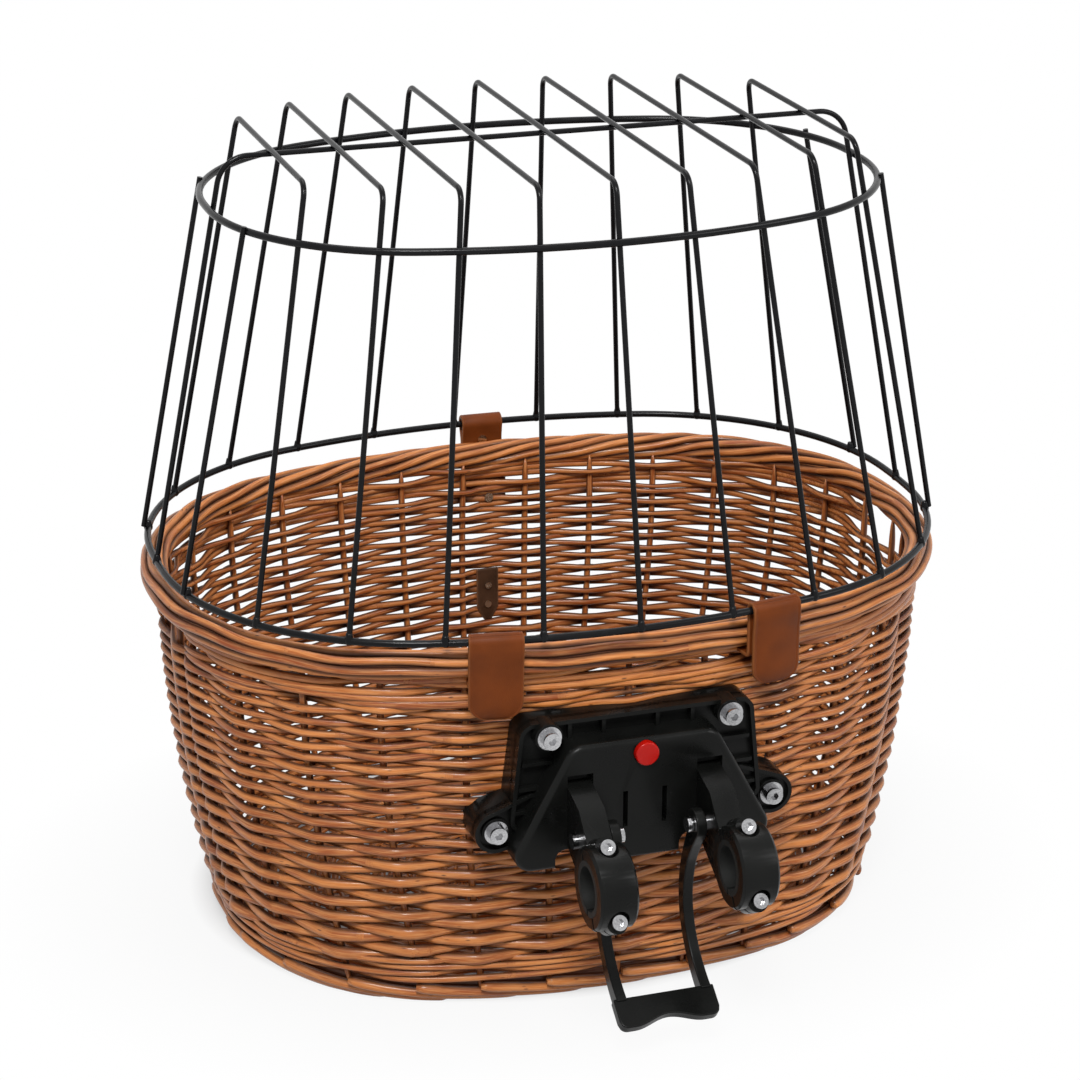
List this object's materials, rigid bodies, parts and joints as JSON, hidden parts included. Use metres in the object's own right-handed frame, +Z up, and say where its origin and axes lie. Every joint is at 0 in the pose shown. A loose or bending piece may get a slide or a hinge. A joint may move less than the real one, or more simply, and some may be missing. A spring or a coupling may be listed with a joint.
{
  "type": "bicycle pet basket",
  "caption": "Oval wicker handlebar basket for a small dog, with a domed wire cage hinged on a leather strap, and a quick-release bracket with bar clamps and a brace.",
  "frame": {"origin": "middle of the handlebar's axis, halfway between the two clamps", "axes": "+X along the handlebar to the right as seen from the pictured side, +Y from the handlebar to the basket, +Z up"},
  "size_m": [0.483, 0.4516, 0.4842],
  "materials": {
    "willow": "satin varnish",
    "cage_wire": "gloss powder coat",
    "strap_leather": "smooth",
    "tab_leather": "smooth",
    "rivet_metal": "polished",
    "snap_metal": "plated",
    "black_plastic": "fine grain",
    "reducer_plastic": "matt",
    "red_plastic": "gloss",
    "zinc_steel": "bright zinc",
    "spring_steel": "bright"
  },
  "bodies": {
    "basket": {"wicker_wall": "willow", "foot_border": "willow", "wicker_base": "willow", "rim_border": "willow", "left_front_strap": "strap_leather", "right_front_strap": "strap_leather", "back_strap": "strap_leather", "lead_tab": "tab_leather", "front_strap_rivets": "rivet_metal", "back_strap_wall_rivet": "rivet_metal", "back_strap_loop_rivet": "rivet_metal", "lead_tab_rivets": "rivet_metal", "left_snap_stud": "snap_metal", "right_snap_stud": "snap_metal", "basket_plate": "black_plastic", "adapter_body": "black_plastic", "left_clamp_arm": "black_plastic", "right_clamp_arm": "black_plastic", "left_clamp_cap": "black_plastic", "right_clamp_cap": "black_plastic", "left_reducer": "reducer_plastic", "right_reducer": "reducer_plastic", "plate_bolts": "zinc_steel", "plate_washers": "zinc_steel", "plate_nuts": "zinc_steel", "clamp_screws": "zinc_steel", "brace_pivot_bolts": "zinc_steel", "brace_washers": "zinc_steel", "top_backing_strip": "zinc_steel", "low_backing_strip": "zinc_steel", "latch_spring": "spring_steel"},
    "cage": {"cage_bottom_ring": "cage_wire", "cage_top_ring": "cage_wire", "ridge_hoop": "cage_wire", "left_end_wires": "cage_wire", "right_end_wires": "cage_wire", "cross_hoop_1": "cage_wire", "cross_hoop_2": "cage_wire", "cross_hoop_3": "cage_wire", "cross_hoop_4": "cage_wire", "cross_hoop_5": "cage_wire", "cross_hoop_6": "cage_wire", "cross_hoop_7": "cage_wire", "cross_hoop_8": "cage_wire", "cross_hoop_9": "cage_wire"},
    "left_tongue": {"left_strap_tongue": "strap_leather", "left_snap_socket": "snap_metal"},
    "right_tongue": {"right_strap_tongue": "strap_leather", "right_snap_socket": "snap_metal"},
    "button": {"release_button": "red_plastic"},
    "latch": {"latch": "black_plastic"},
    "brace": {"support_brace": "black_plastic"}
  },
  "joints": [
    {"name": "cage_hinge", "type": "hinge", "parent": "basket", "child": "cage", "pos_m": [0.018, 0.42066, 0.122], "axis": [-1, 0, 0], "range_deg": [0, 170], "deforming": ["left_front_strap", "right_front_strap", "left_strap_tongue", "right_strap_tongue"]},
    {"name": "left_strap_hinge", "type": "hinge", "parent": "basket", "child": "left_tongue", "pos_m": [-0.08225, 0.06878, 0.1254], "axis": [-0.9847, 0.1743, 0], "range_deg": [0, 130], "deforming": ["left_strap_tongue", "left_snap_socket"]},
    {"name": "right_strap_hinge", "type": "hinge", "parent": "basket", "child": "right_tongue", "pos_m": [0.08225, 0.06878, 0.1254], "axis": [-0.9847, -0.1743, 0], "range_deg": [0, 130], "deforming": ["right_strap_tongue", "right_snap_socket"]},
    {"name": "button_press", "type": "slide", "parent": "basket", "child": "button", "axis": [0, 1, 0], "range_m": [0, 0.003], "stiffness_N_per_m": 500},
    {"name": "latch_slide", "type": "slide", "parent": "basket", "child": "latch", "axis": [0, 0, -1], "range_m": [0, 0.003], "deforming": ["latch_spring"]},
    {"name": "brace_hinge", "type": "hinge", "parent": "basket", "child": "brace", "pos_m": [0, 0.036, 0.011], "axis": [1, 0, 0], "range_deg": [-60, 8]}
  ],
  "couplings": [
    {"joint": "latch_slide", "follows": "button_press", "ratio": 1}
  ]
}
